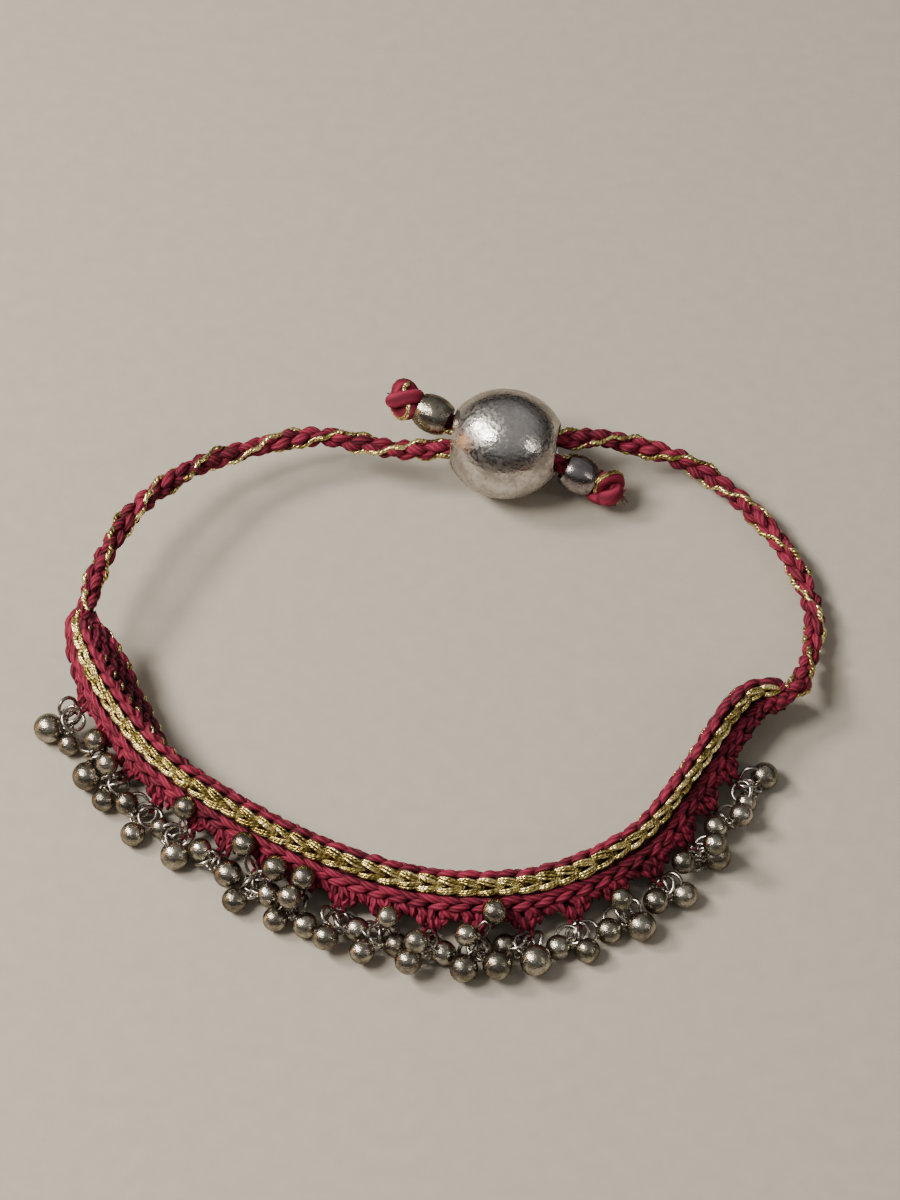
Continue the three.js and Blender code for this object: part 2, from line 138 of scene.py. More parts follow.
# Collects grids of points, each with its place on the thread (u along and v round, in millimetres) and a
# tone of its own, random or with painted shade in it, and makes one object of them.
class Pieces:
    def __init__(self):
        self.parts = []

    def add(self, points, u=0.0, v=0.0, tone=None, ringed=False, material=0):
        if points.ndim == 3:
            points = points[None]
        if tone is None:
            tone = rng.random(len(points))[:, None, None]
        u, v, tone = (np.broadcast_to(x, points.shape[:3]) for x in (u, v, tone))
        self.parts.append((points, u, v, tone, ringed, material))
        return self

    def build(self, name, materials, replaces, slot):
        verts, faces, uv, tones, slots = [], [], [], [], []
        count = 0
        for points, u, v, tone, ringed, material in self.parts:
            k, rows, cols, _ = points.shape
            quads, caps = gridFaces(k, rows, cols, ringed)
            flat = keepAbove(points.reshape(-1, 3), 0)
            # a shell whose faces point in is turned round: its volume by the divergence rule is negative
            corners = (flat - flat.mean(axis=0))[quads]
            inside = np.einsum("ij,ij->i", corners[:, 0], np.cross(corners[:, 1], corners[:, 2])
                               + np.cross(corners[:, 2], corners[:, 3]))
            if inside.sum() < 0:
                quads, caps = quads[:, ::-1], caps[:, ::-1]
            verts.append(flat)
            for block in (quads, caps):
                faces.append(block + count)
                slots.append(np.full(len(block), material))
            uv.append(np.stack([u, v], axis=-1).reshape(-1, 2))
            tones.append(tone.reshape(-1))
            count += len(flat)
        verts = (np.vstack(verts) + shift) * mm
        uv, tones = np.vstack(uv), np.concatenate(tones)
        sizes = np.concatenate([np.full(len(f), f.shape[1]) for f in faces])
        starts = np.concatenate([[0], np.cumsum(sizes)[:-1]])
        loops = np.concatenate([f.ravel() for f in faces])
        mesh = bpy.data.meshes.new(name)
        mesh.vertices.add(len(verts))
        mesh.vertices.foreach_set("co", verts.astype(np.float32).ravel())
        mesh.loops.add(len(loops))
        mesh.loops.foreach_set("vertex_index", loops.astype(np.int32))
        mesh.polygons.add(len(sizes))
        mesh.polygons.foreach_set("loop_start", starts.astype(np.int32))
        mesh.polygons.foreach_set("material_index", np.concatenate(slots).astype(np.int32))
        mesh.polygons.foreach_set("use_smooth", np.ones(len(sizes), bool))
        layer = mesh.uv_layers.new(name="thread")
        layer.data.foreach_set("uv", uv[loops].astype(np.float32).ravel())
        mesh.attributes.new("tone", "FLOAT", "POINT").data.foreach_set("value", tones.astype(np.float32))
        mesh.update(calc_edges=True)
        mesh.validate()
        piece = newObject(name, mesh)
        for material in materials:
            mesh.materials.append(material)
        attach(piece, "root")
        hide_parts(*replaces)


# a tube round a line of points: at each point a circle of the given radius, in the plane across the line
def tube(points, radius, cols, closed=False, reference=up):
    if closed:
        way = unit(np.roll(points, -1, axis=-2) - np.roll(points, 1, axis=-2))
    else:
        way = unit(np.gradient(points, axis=-2))
    side = unit(np.cross(way, np.broadcast_to(reference, way.shape)))
    over = np.cross(side, way)
    angle = fullTurn(cols)
    radius = np.broadcast_to(radius, points.shape[:-1])[..., None, None]
    circle = side[..., None, :] * np.cos(angle)[:, None] + over[..., None, :] * np.sin(angle)[:, None]
    return points[..., None, :] + radius * circle


# a profile (distance from the axis, place along it) turned about an axis through a middle
def turned(profile, middle, axis, cols, noAxis=(0.3, 0.2, 0.93)):
    side = unit(np.cross(axis, noAxis))   # no piece here has its axis along noAxis
    over = np.cross(axis, side)
    angle = fullTurn(cols)
    ring = side * np.cos(angle)[:, None] + over * np.sin(angle)[:, None]
    return middle + profile[:, 0, None, None] * ring[None] + profile[:, 1, None, None] * axis


def newMaterial(name):
    material = bpy.data.materials.new(name)
    material.use_nodes = True
    tree = material.node_tree
    tree.nodes.clear()
    out = tree.nodes.new("ShaderNodeOutputMaterial")
    shader = tree.nodes.new("ShaderNodeBsdfPrincipled")
    tree.links.new(shader.outputs["BSDF"], out.inputs["Surface"])
    return material, tree, shader


# an input that is given another node's output is linked to it, and any other is set
def setInputs(tree, node, inputs):
    for key, value in inputs.items():
        if isinstance(value, bpy.types.NodeSocket):
            tree.links.new(value, node.inputs[key])
        else:
            node.inputs[key].default_value = value


def addNode(tree, kind, inputs=(), **settings):
    node = tree.nodes.new("ShaderNode" + kind)
    for key, value in settings.items():
        setattr(node, key, value)
    setInputs(tree, node, dict(inputs))
    return node


def ramp(tree, factor, *stops):
    node = addNode(tree, "ValToRGB", {"Fac": factor})
    while len(node.color_ramp.elements) < len(stops):
        node.color_ramp.elements.new(0.5)
    for element, (position, colour) in zip(node.color_ramp.elements, stops):
        element.position = position
        element.color = (*colour, 1)
    return node.outputs["Color"]


# the sum of some outputs, each times its weight
def weighed(tree, *terms):
    total = 0.0
    for output, weight in terms:
        inputs = {0: output, 1: weight, 2: total}
        total = addNode(tree, "Math", inputs, operation="MULTIPLY_ADD").outputs[0]
    return total


def noise(tree, place, scale, detail, roughness=0.5):
    inputs = {"Vector": place, "Scale": scale, "Detail": detail, "Roughness": roughness}
    return addNode(tree, "TexNoise", inputs).outputs["Fac"]


def wave(tree, place, scale, distortion, detailScale=1.0):
    inputs = {"Vector": place, "Scale": scale, "Distortion": distortion, "Detail": 1,
              "Detail Scale": detailScale}
    return addNode(tree, "TexWave", inputs).outputs["Fac"]


# a value between the two in given comes out as far between the two in wanted
def between(tree, value, given, wanted):
    inputs = {"Value": value, "From Min": given[0], "From Max": given[1],
              "To Min": wanted[0], "To Max": wanted[1]}
    return addNode(tree, "MapRange", inputs).outputs["Result"]


def bump(tree, height, strength, distance):
    inputs = {"Height": height, "Strength": strength, "Distance": distance}
    return addNode(tree, "Bump", inputs).outputs["Normal"]


# each piece's tone: random, or with painted shade in it where the pieces give that
def pieceTone(tree):
    return addNode(tree, "Attribute", attribute_name="tone").outputs["Fac"]


def objectPlace(tree):
    return addNode(tree, "TexCoord").outputs["Object"]


# the place on the thread, stretched or turned
def threadPlace(tree, **mapping):
    uv = addNode(tree, "UVMap", uv_map="thread").outputs["UV"]
    return addNode(tree, "Mapping", {"Vector": uv, **mapping}).outputs["Vector"]


# soft spun thread: fine fibres and slanting plies run along it, in patches and tones from dark to light,
# with painted shade in the grooves between its plies
def spunThread(name, dark, mid, light):
    material, tree, shader = newMaterial(name)
    fibres = noise(tree, threadPlace(tree, Scale=(1.1, 13, 1)), scale=1.0, detail=5, roughness=0.65)
    plyPlace = threadPlace(tree, Rotation=(0, 0, -1.25))
    plies = wave(tree, plyPlace, scale=0.85, distortion=1.6, detailScale=1.2)
    patches = noise(tree, objectPlace(tree), scale=260, detail=3)
    # the plies' wave in the colour is painted shade in their grooves, and the tone can carry painted shade
    # too
    mixed = weighed(tree, (pieceTone(tree), 0.3), (fibres, 0.45), (plies, 0.30), (patches, 0.2))
    height = weighed(tree, (plies, 1), (fibres, 0.6))
    setInputs(tree, shader, {
        "Base Color": ramp(tree, mixed, (0.38, dark), (0.66, mid), (0.95, light)),
        "Roughness": 0.78,
        "Sheen Weight": 0.12,
        "Sheen Roughness": 0.45,
        "Sheen Tint": (*light, 1),
        "Specular IOR Level": 0.28,
        "Normal": bump(tree, height, strength=0.55, distance=0.00022)})
    return material


# metallic thread: foil wound round a core at a slant, so it glitters in short bars
def foilThread(name, dark, mid, light):
    material, tree, shader = newMaterial(name)
    wound = wave(tree, threadPlace(tree, Rotation=(0, 0, 0.6)), scale=1.0, distortion=1.5)
    glitter = noise(tree, objectPlace(tree), scale=1500, detail=1)
    mixed = weighed(tree, (wound, 0.18), (glitter, 0.75), (pieceTone(tree), 0.30))
    setInputs(tree, shader, {
        "Base Color": ramp(tree, mixed, (0.30, dark), (0.55, mid), (0.80, light)),
        "Metallic": 0.95,
        "Roughness": between(tree, glitter, given=(0.3, 0.7), wanted=(0.36, 0.20)),
        "Normal": bump(tree, wound, strength=0.6, distance=0.00005)})
    return material


# silver: worn smooth with small dents, clouded where it has tarnished. rough is its roughness where it is
# bright and where it is dull, cloud how fine the clouds are, and polish how much of a clear shine it has.
def silver(name, dark, mid, light, rough, dents, cloud=900.0, polish=0.0):
    material, tree, shader = newMaterial(name)
    place = objectPlace(tree)
    clouds = noise(tree, place, scale=cloud, detail=6, roughness=0.62)
    specks = noise(tree, place, scale=cloud * 6, detail=3)
    mixed = weighed(tree, (specks, 0.25), (clouds, 0.85), (pieceTone(tree), 0.16))
    worn = weighed(tree, (specks, 1), (clouds, 1))
    height = weighed(tree, (clouds, 1), (specks, 0.55))
    setInputs(tree, shader, {
        "Base Color": ramp(tree, mixed, (0.36, dark), (0.6, mid), (0.82, light)),
        "Metallic": 1.0,
        "Coat Weight": polish,
        "Coat Roughness": 0.07,
        "Coat IOR": 1.8,
        "Specular Tint": (0.55, 0.51, 0.47, 1),
        "Roughness": between(tree, worn, given=(0.80, 1.22), wanted=(rough[1], rough[0])),
        "Normal": bump(tree, height, strength=0.35, distance=dents)})
    return material


crimsonThread = spunThread(
    "crimsonThread", dark=(0.05, 0.0035, 0.009), mid=(0.21, 0.013, 0.035), light=(0.34, 0.028, 0.068))
# a darker copy of the crimson: painted shade for the band's inner face, its inner rows and its skin
shadedCrimsonThread = spunThread(
    "shadedCrimsonThread", dark=(0.025, 0.002, 0.006), mid=(0.11, 0.007, 0.021), light=(0.22, 0.018, 0.046))
goldThread = foilThread(
    "goldThread", dark=(0.06, 0.038, 0.009), mid=(0.41, 0.31, 0.085), light=(1.0, 0.86, 0.40))
ballSilver = silver(
    "ballSilver", dark=(0.20, 0.175, 0.16), mid=(0.48, 0.445, 0.41), light=(0.80, 0.765, 0.72),
    rough=(0.08, 0.42), dents=0.00027, cloud=420.0, polish=0.5)
dropSilver = silver(
    "dropSilver", dark=(0.05, 0.042, 0.032), mid=(0.25, 0.222, 0.175), light=(0.60, 0.555, 0.46),
    rough=(0.14, 0.36), dents=0.00022)
wireSilver = silver(
    "wireSilver", dark=(0.12, 0.11, 0.095), mid=(0.34, 0.31, 0.27), light=(0.62, 0.58, 0.51),
    rough=(0.16, 0.32), dents=0.00004)
darkSilver = silver(
    "darkSilver", dark=(0.10, 0.085, 0.085), mid=(0.28, 0.25, 0.25), light=(0.50, 0.47, 0.46),
    rough=(0.12, 0.34), dents=0.00010)
print("finishes made")


# the floor: a pale level sheet with a faint grain
floor = dict(size=4000, grain=600, dark=(0.43, 0.387, 0.318), light=(0.46, 0.417, 0.348))
half = floor["size"] / 2 * mm
floorMesh = bpy.data.meshes.new("floor")
floorCorners = [(-half, -half, 0), (half, -half, 0), (half, half, 0), (-half, half, 0)]
floorMesh.from_pydata(floorCorners, [], [(0, 1, 2, 3)])
floorPiece = newObject("floor", floorMesh)
floorFinish, floorTree, floorShader = newMaterial("paleFloor")
floorGrain = noise(floorTree, objectPlace(floorTree), scale=floor["grain"], detail=4)
setInputs(floorTree, floorShader, {
    "Base Color": ramp(floorTree, floorGrain, (0.3, floor["dark"]), (0.7, floor["light"])),
    "Roughness": 0.6,
    "Specular IOR Level": 0.1})
floorMesh.materials.append(floorFinish)

# The lamps face the middle of the table. way is where one stands, as seen from there, far how far off, and
# wide and tall its size. One without tall is round.
lamps = [
    dict(name="softMain", way=(-0.55, -0.13, 0.81), far=420, wide=160, power=1.74,
         colour=(1.0, 0.955, 0.90)),
    dict(name="mainCore", way=(-0.70, 0.20, 0.69), far=415, wide=96, power=1.36, colour=(1.0, 0.96, 0.905)),
    dict(name="lowStrip", way=(0.74, -0.40, 0.54), far=380, wide=10, tall=110, power=0.13,
         colour=(1.0, 0.95, 0.86)),
    dict(name="warmLeft", way=(-0.97, 0.05, 0.20), far=330, wide=70, tall=90, power=0.10,
         colour=(1.0, 0.46, 0.16)),
]
for lamp in lamps:
    light = bpy.data.lights.new(lamp["name"], "AREA")
    light.shape = "RECTANGLE" if "tall" in lamp else "DISK"
    light.size = lamp["wide"] * mm
    if "tall" in lamp:
        light.size_y = lamp["tall"] * mm
    light.energy = lamp["power"]
    light.color = lamp["colour"]
    lightPiece = newObject(lamp["name"], light)
    lightPiece.location = unit(np.array(lamp["way"])) * lamp["far"] * mm
    lightPiece.rotation_euler = (-Vector(lightPiece.location)).to_track_quat("-Z", "Y").to_euler()

# the room is dim low down and pale overhead: its tones by how high a way points, from level to straight up
roomTones = [(0.0, (0.065, 0.06, 0.06)), (0.28, (0.09, 0.085, 0.09)), (0.55, (0.58, 0.57, 0.565)),
             (1.0, (0.95, 0.93, 0.91))]
roomStrength = 0.38
world = bpy.data.worlds.new("room")
world.use_nodes = True
roomTree = world.node_tree
roomWay = addNode(roomTree, "TexCoord").outputs["Generated"]
roomUp = addNode(roomTree, "SeparateXYZ", {"Vector": roomWay}).outputs["Z"]
setInputs(roomTree, roomTree.nodes["Background"], {
    "Color": ramp(roomTree, roomUp, *roomTones), "Strength": roomStrength})
bpy.context.scene.world = world
print("floor and lights set")


# the slider ball and the end beads: an elliptical outside, a rounded lip at each end, and a straight bore
def beadProfile(diameter, length, bore, rimRound, rows, lipRows=7, boreRows=9):
    lipAt, lipAlong = bore / 2 + rimRound, length / 2 - rimRound
    endAngle = np.arccos(lipAt / (diameter / 2))
    halfAxis = length / 2 / np.sin(endAngle)
    angle = np.linspace(-endAngle, endAngle, rows)[1:-1]
    outside = np.stack([diameter / 2 * np.cos(angle), halfAxis * np.sin(angle)], axis=-1)
    turn = np.radians(np.linspace(70, 180, lipRows))   # 90 faces along the axis, and 180 faces the bore
    lip = np.stack([lipAt + rimRound * np.cos(turn), lipAlong + rimRound * np.sin(turn)], axis=-1)
    boreAlong = np.linspace(lipAlong, -lipAlong, boreRows + 2)[1:-1]
    bored = np.stack([np.full(boreRows, bore / 2), boreAlong], axis=-1)
    return np.vstack([outside, lip, bored, lip[::-1] * (1, -1)])


# Small seeded dents, each 0.3 to 1 of the depth and 0.5 to 1.5 of the width: one lowers the surface by its
# depth times a bell curve of the distance from it.
def dented(points, middle, count, depth, width):
    spread = unit(rng.normal(size=(count, 3)))
    reach = unit(points - middle)
    size = np.linalg.norm(points - middle, axis=-1).max()
    deep = depth * rng.uniform(0.3, 1, count)
    wide = width * rng.uniform(0.5, 1.5, count)
    apart = 1 - np.einsum("...i,ki->...k", reach, spread)
    drop = (deep * np.exp(-apart * 2 * (size / wide) ** 2)).sum(axis=-1)
    return points - reach * drop[..., None]


ballDents = dict(count=60, depth=0.012, width=0.55)
ballMiddle = np.array(ball["centre"])
ballTurn = np.radians(ball["turn"])
ballAxis = np.array([np.cos(ballTurn), np.sin(ballTurn), 0])
ballPoints = turned(beadProfile(**ballSize, rows=66), ballMiddle, ballAxis, cols=112)
ballPieces = Pieces().add(dented(ballPoints, ballMiddle, **ballDents), tone=0.5, ringed=True)
ballPieces.build("sliderBall", [ballSilver], ["slider_ball"], "polished_silver")
print("slider ball made")

# The two cords cross the ball side by side, as a pair tilted by so many degrees. Past it each runs straight
# through its bead to its knot.
cordPair = dict(spacing=2.3, tilt=35)
tilt = np.radians(cordPair["tilt"])
level = np.cross(up, ballAxis)
cordOffset = (level * np.cos(tilt) + np.cross(ballAxis, level) * np.sin(tilt)) * cordPair["spacing"] / 2


# a place in the ball, along its axis from the middle, on one side or the other
def throughBall(sideways, along):
    return ballMiddle + cordOffset * sideways + ballAxis * along


# A cord runs from its root in the band's tip along its route to the ball. It crosses the ball beside the
# middle, as sideways and way give, and its tail is on the side that tail names. turn is where its plait
# starts, in degrees round the cord, and wrapFrom where the gold thread starts on its knot.
cords = {
    "cord_left": dict(
        route=[(-33.0, 5.6, 6.4), (-32.3, 8.6, 6.8), (-31.2, 11.4, 7.1), (-29.5, 14.9, 7.2),
               (-26.4, 18.9, 6.7), (-23.2, 22.0, 5.9), (-19.5, 24.1, 5.2), (-14.7, 25.9, 4.8),
               (-11.3, 26.4, 4.6), (-7.8, 25.6, 4.6), (-3.9, 24.8, 4.6)],
        root=(-33.3, 4.3, 6.2), sideways=-1, way=1, turn=155, tail="right", beadReach=2.6,
        knot=(16.2, 21.7, 2.5), beadFinish=darkSilver, frayed=True, wrapFrom=40),
    "cord_right": dict(
        route=[(33.5, -2.4, 3.9), (34.0, -0.9, 3.2), (34.8, 1.5, 2.4), (35.6, 4.9, 1.7), (35.7, 7.9, 1.5),
               (34.9, 11.2, 1.5), (33.4, 14.9, 1.6), (31.2, 18.3, 1.8), (29.3, 20.6, 2.0), (25.5, 24.0, 2.4),
               (22.6, 25.4, 2.9), (19.2, 25.9, 3.8), (15.8, 26.0, 4.9)],
        root=(32.2, -3.5, 4.3), sideways=1, way=-1, turn=113, tail="left", beadReach=2.4,
        knot=(-3.4, 29.0, 7.2), beadFinish=dropSilver, frayed=False, wrapFrom=4),
}
endBead = dict(diameter=3.8, length=3.2, bore=2.6, rimRound=0.15)
beadDents = dict(count=18, depth=0.02, width=0.5)
knotSize = dict(length=3.0, cordInside=0.5)
for cord in cords.values():
    halfBall = ballSize["length"] / 2 * cord["way"]
    leave = throughBall(cord["sideways"], halfBall)
    knot = np.array(cord["knot"])
    cord["out"] = unit(knot - leave)
    bead = leave + cord["out"] * cord["beadReach"]
    cordEnd = knot - cord["out"] * (knotSize["length"] / 2 - knotSize["cordInside"])
    inBall = [throughBall(cord["sideways"], -halfBall), throughBall(cord["sideways"], 0), leave]
    cord["line"] = smoothLine([cord["root"]] + cord["route"] + inBall + [bead, cordEnd])
    beadPoints = turned(beadProfile(**endBead, rows=34), bead, cord["out"], cols=64)
    beadPieces = Pieces().add(dented(beadPoints, bead, **beadDents), tone=0.5, ringed=True)
    beadPieces.build("endBead" + cord["tail"].title(), [cord["beadFinish"]], ["end_bead_" + cord["tail"]],
                     "tarnished_silver")
print("end beads made")

# A plaited cord: columns of lobes, a soft core inside them, and gold strands over them. turnPerMm is how
# many degrees the plait or its gold turns round the cord in a millimetre.
plait = dict(columns=4, pitch=2.1, lobe=2.65, width=1.24, thick=0.98, middle=0.32, arch=0.27, slant=0.38,
             radius=0.75, turnPerMm=-9.0, unevenPlace=0.04, sizes=(0.94, 1.06), rows=9, cols=7)
core = dict(radius=0.5, step=0.5, cols=8)
cordGold = dict(radius=0.20, turnPerMm=-26.0, step=0.16, cols=5, vStep=0.2, grooves=(0, 2), plyPitch=1.1,
                height=0.83, wander=0.16, weave=0.13, plyAcross=0.12, plyUp=0.08)


# the places round a thread for the sides of its tube
def roundPlace(thread):
    return np.arange(thread["cols"]) * thread["vStep"]


# a cord's surface: the place along it, the angle round it from the top, and the height off its middle line
def wrapOnCord(line, s, angle, height):
    s, angle, height = np.broadcast_arrays(s, angle, height)
    way = readLine(line, "way", s)
    over = unit(up - way * way[..., 2:])
    side = np.cross(way, over)
    beyond = (s - np.clip(s, 0, line["at"][-1]))[..., None] * way
    points = (readLine(line, "place", s) + beyond
              + height[..., None] * (over * np.cos(angle)[..., None] + side * np.sin(angle)[..., None]))
    return keepAbove(points, offTable["cord"])


# A plump leaf of thread on a surface with places s and t and a height: along a from 0 to 1 its half width is
# width/2 · sin(pi a)^0.6, with small flats left at its ends. It arches by arch · sin(pi a) from two tucked
# ends, bends sideways by bend · sin(pi a), and lies at a slant. It is about 2.2 widths round.
def leaves(s, t, lift, length, width, thick, slant, arch, bend=0.0, rows=10, cols=7):
    s, t, lift, length, width, thick, slant, arch, bend = (
        np.broadcast_to(x, np.shape(s))[:, None, None]
        for x in (s, t, lift, length, width, thick, slant, arch, bend))
    a = np.linspace(0, 1, rows)[None, :, None]
    turn = fullTurn(cols)[None, None, :]
    swell = np.sin(np.pi * (0.015 + 0.97 * a)) ** 0.6
    hump = np.sin(np.pi * a)
    along = (a - 0.5) * length
    across = bend * hump + width / 2 * swell * np.cos(turn)
    height = lift + arch * hump + thick / 2 * swell * np.sin(turn)
    spun = rng.uniform(0, 50, np.shape(s))
    v = spun + turn / (2 * np.pi) * 2.2 * width
    leafS = s + along * np.cos(slant) - across * np.sin(slant)
    leafT = t + along * np.sin(slant) + across * np.cos(slant)
    return leafS, leafT, height, spun + along, v


# each lobe has a tone of its own at random, and painted shade lowers it by 1.1 · (1 - sin(pi a))^2 towards
# its two tucked ends
def lobeToneAndShade(count, rows=10):
    a = np.linspace(0, 1, rows)[None, :, None]
    return rng.uniform(0.1, 1, count)[:, None, None] - 1.1 * (1 - np.sin(np.pi * a)) ** 2


# the lobes of a column are a pitch apart, and odd columns are half a pitch on and slant the other way
def plaitedCord(name, node, cord):
    line = cord["line"]
    long = line["at"][-1]
    first = np.arange(0, long, plait["pitch"])
    column = np.tile(np.arange(plait["columns"]), len(first))
    odd = column % 2
    s = np.repeat(first, plait["columns"]) + plait["pitch"] * (0.5 * odd)
    s = s + rng.normal(0, plait["unevenPlace"], len(s))
    length = plait["lobe"] * rng.uniform(*plait["sizes"], len(s))
    slant = np.where(odd, 1, -1) * plait["slant"]
    ls, lt, lh, u, v = leaves(s, 0, plait["middle"], length, plait["width"], plait["thick"], slant,
                              plait["arch"], rows=plait["rows"], cols=plait["cols"])
    turns = np.radians(plait["turnPerMm"] * ls + cord["turn"])
    angle = turns + (column * np.pi / 2)[:, None, None] + lt / plait["radius"]
    cordPieces = Pieces().add(wrapOnCord(line, ls, angle, lh), u, v, tone=lobeToneAndShade(len(s), plait["rows"]))

    # the core has the darkest tone: painted shade where it shows between the lobes
    s = np.arange(0, long, core["step"])[:, None]
    around = fullTurn(core["cols"])[None, :]
    cordPieces.add(wrapOnCord(line, s, around, core["radius"]), s, core["radius"] * around, tone=0.0)

    # the gold strands, of two plies each, wind round the plait, in and out between its lobes
    s = np.arange(0, long, cordGold["step"])
    beat = 2 * np.pi * s / plait["pitch"]
    for groove in cordGold["grooves"]:
        for ply in (0, np.pi):
            roll = 2 * np.pi * s / cordGold["plyPitch"] + ply
            angle = (np.radians(cordGold["turnPerMm"] * s + cord["turn"]) + (groove + 0.5) * np.pi / 2
                     + cordGold["wander"] * np.sin(beat + groove) + cordGold["plyAcross"] * np.cos(roll))
            height = (cordGold["height"] + cordGold["weave"] * np.cos(beat + groove)
                      + cordGold["plyUp"] * np.sin(roll))
            strand = tube(wrapOnCord(line, s, angle, height), cordGold["radius"], cordGold["cols"])
            cordPieces.add(strand, s[:, None], roundPlace(cordGold), material=1)
    cordPieces.build(name, [crimsonThread, goldThread], [node], "crimson_plait")


for node, cord in cords.items():
    plaitedCord("plait" + node.split("_")[1].title(), node, cord)
print("cords plaited")

# An end knot: one fat strand on a path that goes twice round the axis and three times in and out of it, with
# a gold thread of two plies that slips over one turn of it, and a few fibres sticking out of its end.
knotStrand = dict(loop=0.42, rise=1.0, radius=0.74, uneven=0.05, steps=84, step=0.22, squash=0.6, cols=12,
                  vStep=0.105)
knotGold = dict(radius=0.13, plies=(-0.15, 0.15), steps=34, cols=6, vStep=0.2, lean=0.9, over=1.04)
knotFray = dict(radius=0.05, fibres=3, lengths=(0.5, 0.52), inside=0.35, apart=0.28, spread=0.42, curl=0.22,
                steps=7, cols=5, vStep=0.1)
frayedMore = dict(fibres=30, lengths=(0.5, 1.25))


def endKnot(name, node, cord):
    middle, out = np.array(cord["knot"]), cord["out"]
    fray = {**knotFray, **frayedMore} if cord["frayed"] else knotFray
    side = unit(np.cross(out, up))
    over = np.cross(side, out)
    t = fullTurn(knotStrand["steps"])
    reach = (2 + np.cos(3 * t)) * knotStrand["loop"]
    path = (middle + (reach * np.cos(2 * t))[:, None] * side + (reach * np.sin(2 * t))[:, None] * over
            + (knotStrand["rise"] * np.sin(3 * t))[:, None] * out)
    gone = np.arange(len(t)) * knotStrand["step"]
    radius = knotStrand["radius"] * (1 + knotStrand["uneven"] * np.sin(9 * t))
    strand = tube(path, radius, knotStrand["cols"], closed=True, reference=out)
    u = gone[:, None] * knotStrand["squash"]
    knotPieces = Pieces().add(strand, u, roundPlace(knotStrand), tone=0.6, ringed=True)

    some = np.arange(cord["wrapFrom"], cord["wrapFrom"] + knotGold["steps"]) % len(t)
    way = unit(np.roll(path, -1, axis=0) - np.roll(path, 1, axis=0))[some]
    fromAxis = path[some] - middle
    fromAxis = unit(fromAxis - out * (fromAxis @ out)[:, None])
    across = unit(np.cross(way, fromAxis))
    lean = np.linspace(-knotGold["lean"], knotGold["lean"], len(some))[:, None]
    for ply in knotGold["plies"]:
        lift = np.cos(lean + ply) * fromAxis + np.sin(lean + ply) * across
        wrap = path[some] + lift * (knotStrand["radius"] * knotGold["over"])
        wrap = tube(wrap, knotGold["radius"], knotGold["cols"], reference=out)
        knotPieces.add(wrap, gone[some][:, None], roundPlace(knotGold), material=1)

    count = fray["fibres"]
    spread = unit(out + rng.normal(0, fray["spread"], (count, 3)))
    long = rng.uniform(*fray["lengths"], count)[:, None, None]
    a = np.linspace(0, 1, fray["steps"])[None, :, None]
    root = middle + out * (knotSize["length"] / 2 - fray["inside"])
    root = root + rng.normal(0, fray["apart"], (count, 3))
    curl = rng.normal(0, fray["curl"], (count, 1, 3))
    fibre = keepAbove(root[:, None] + spread[:, None] * long * a + curl * a ** 2, offTable["fibre"])
    gilt = np.arange(count) % 3 == 0
    for which, material in ((~gilt, 0), (gilt, 1)):
        fibreTubes = tube(fibre[which], fray["radius"], fray["cols"])
        knotPieces.add(fibreTubes, a * 3, roundPlace(fray), material=material)
    for points, *_ in knotPieces.parts:
        keepAbove(points, offTable["knot"])
    knotPieces.build(name, [crimsonThread, goldThread], [node], "crimson_plait")


for cord in (cords["cord_right"], cords["cord_left"]):
    endKnot("knot" + cord["tail"].title(), "end_knot_" + cord["tail"], cord)
print("end knots tied")

# The band. Its line is the upper edge of the gold row; beside it the surface falls away in rows. A section
# gives a place of the line, how steeply the lower, gold, crest and inner rows fall there, in degrees, and
# the share of each row's full width.
sectionColumns = ("x", "y", "z", "lower", "gold", "crest", "inner", "share")
bandSections = np.array([
    (-33.1, 5.0, 6.5, 40, 25, 20, 40, 0.2), (-33.6, 3.0, 6.8, 38, 28, 15, 36, 0.42),
    (-33.1, 1.0, 6.9, 46, 40, 12, 42, 0.62), (-32.1, -1.5, 6.8, 58, 48, 12, 52, 0.85),
    (-30.2, -5.0, 6.5, 66, 54, 15, 62, 1), (-26.0, -10.6, 6.0, 62, 56, 20, 74, 1),
    (-19.4, -15.5, 5.5, 52, 50, 25, 82, 1), (-10.7, -20.4, 5.3, 46, 44, 30, 86, 1),
    (-2.6, -23.2, 5.1, 44, 42, 35, 87, 1), (4.6, -23.9, 5.1, 43, 43, 35, 87, 1),
    (10.8, -22.8, 5.1, 42, 46, 35, 87, 1), (18.1, -18.7, 5.2, 42, 58, 40, 86, 1),
    (22.9, -12.5, 5.5, 42, 66, 40, 84, 1), (26.7, -6.6, 5.8, 44, 66, 30, 80, 1),
    (28.9, -4.0, 5.8, 46, 60, 25, 70, 0.9), (31.0, -3.3, 5.3, 48, 50, 20, 60, 0.62),
    (32.4, -3.3, 4.7, 40, 25, 20, 40, 0.2)])
bandRow = dict(lower=3.0, gold=1.7, crest=1.0, inner=4.9)
band = dict(wall=1.25, rounding=1.0, rightEnd=12, rightShare=0.8, leastShare=0.3)
picot = dict(count=19, pitch=3.86, first=8.4, seat=0.85, dip=0.35)
bandLine = smoothLine(bandSections[:, :3])
bandLong = bandLine["at"][-1]


# a column of the section table, eased from one section to the next
def bandColumn(name, s):
    column = sectionColumns.index(name)
    at = np.interp(s, bandLine["at"], bandLine["span"])
    low = np.clip(np.floor(at).astype(int), 0, len(bandSections) - 2)
    w = at - low
    w = w * w * (3 - 2 * w)
    return bandSections[low, column] * (1 - w) + bandSections[low + 1, column] * w


